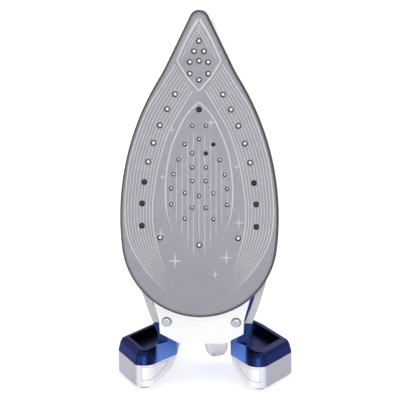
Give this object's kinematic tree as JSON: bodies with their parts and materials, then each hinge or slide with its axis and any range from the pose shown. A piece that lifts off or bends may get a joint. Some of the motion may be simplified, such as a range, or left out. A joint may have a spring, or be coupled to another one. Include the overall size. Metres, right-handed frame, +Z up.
{
  "type": "steam iron",
  "caption": "Steam iron standing on its heel: perforated soleplate, clear water tank with filler flap, looped handle, dial, pump buttons, splayed feet and a swivelling cord gland.",
  "frame": {"origin": "on the table below the middle of the standing iron's bounding box", "axes": "+Z up with the iron standing on its heel, the sole facing -Y and leaning back, +X to the right as one looks at the sole"},
  "size_m": [0.1364, 0.1603, 0.2955],
  "materials": {
    "enamel": "smooth grey enamel",
    "cast_aluminium": "as cast",
    "steel": "brushed",
    "sheet_steel": "pressed sheet",
    "seal": "silicone",
    "white_plastic": "gloss",
    "pearl_plastic": "pearl gloss",
    "blue_plastic": "gloss",
    "tank_plastic": "clear blue",
    "silver_plastic": "silver gloss",
    "grey_plastic": "satin",
    "soft_grip": "matte",
    "dark_plastic": "matte",
    "lens": "clear amber"
  },
  "bodies": {
    "iron": {"sole_plate": "enamel", "heating_casting": "cast_aluminium", "heating_element": "steel", "chamber_gasket": "seal", "chamber_cover": "sheet_steel", "cover_screws": "steel", "thermostat": "sheet_steel", "thermal_fuse": "steel", "heat_skirt": "white_plastic", "heel_screws": "steel", "water_tank": "tank_plastic", "valve_seat": "seal", "filler_collar": "white_plastic", "lid_pin": "steel", "rear_housing": "pearl_plastic", "terminal_block": "dark_plastic", "handle_body": "white_plastic", "handle_cover": "blue_plastic", "grip_pad": "soft_grip", "pilot_lens": "lens", "spray_nozzle": "grey_plastic", "steam_pump": "grey_plastic", "spray_pump": "grey_plastic", "gland_pin": "steel", "left_foot": "silver_plastic", "right_foot": "silver_plastic", "left_foot_plate": "white_plastic", "right_foot_plate": "white_plastic", "foot_pads": "grey_plastic", "heel_shell": "blue_plastic"},
    "lid": {"filler_lid": "tank_plastic"},
    "dial": {"temperature_dial": "grey_plastic", "dial_shaft": "steel"},
    "steam_control": {"steam_knob": "grey_plastic", "steam_needle": "steel"},
    "steam_push": {"steam_button": "grey_plastic", "steam_piston": "seal"},
    "spray_push": {"spray_button": "grey_plastic", "spray_piston": "seal"},
    "gland": {"cord_gland": "grey_plastic"}
  },
  "joints": [
    {"name": "filler_lid_hinge", "type": "hinge", "parent": "iron", "child": "lid", "pos_m": [0, 0.01034, 0.23491], "axis": [-1, 0, 0], "range_deg": [0, 100]},
    {"name": "temperature_turn", "type": "hinge", "parent": "iron", "child": "dial", "pos_m": [0, -0.00007, 0.11673], "axis": [0, 0.9903, -0.1392], "range_deg": [-140, 140]},
    {"name": "steam_turn", "type": "hinge", "parent": "iron", "child": "steam_control", "pos_m": [0, 0.00773, 0.17219], "axis": [0, 0.9903, -0.1392], "range_deg": [0, 120]},
    {"name": "steam_press", "type": "slide", "parent": "iron", "child": "steam_push", "axis": [0, -0.9903, 0.1392], "range_m": [0, 0.004], "stiffness_N_per_m": 500, "springref_m": -0.002},
    {"name": "spray_press", "type": "slide", "parent": "iron", "child": "spray_push", "axis": [0, -0.9903, 0.1392], "range_m": [0, 0.004], "stiffness_N_per_m": 500, "springref_m": -0.002},
    {"name": "gland_swing", "type": "hinge", "parent": "iron", "child": "gland", "pos_m": [0, 0.00576, 0.04321], "axis": [0, 0.9903, -0.1392], "range_deg": [-8, 32]}
  ]
}
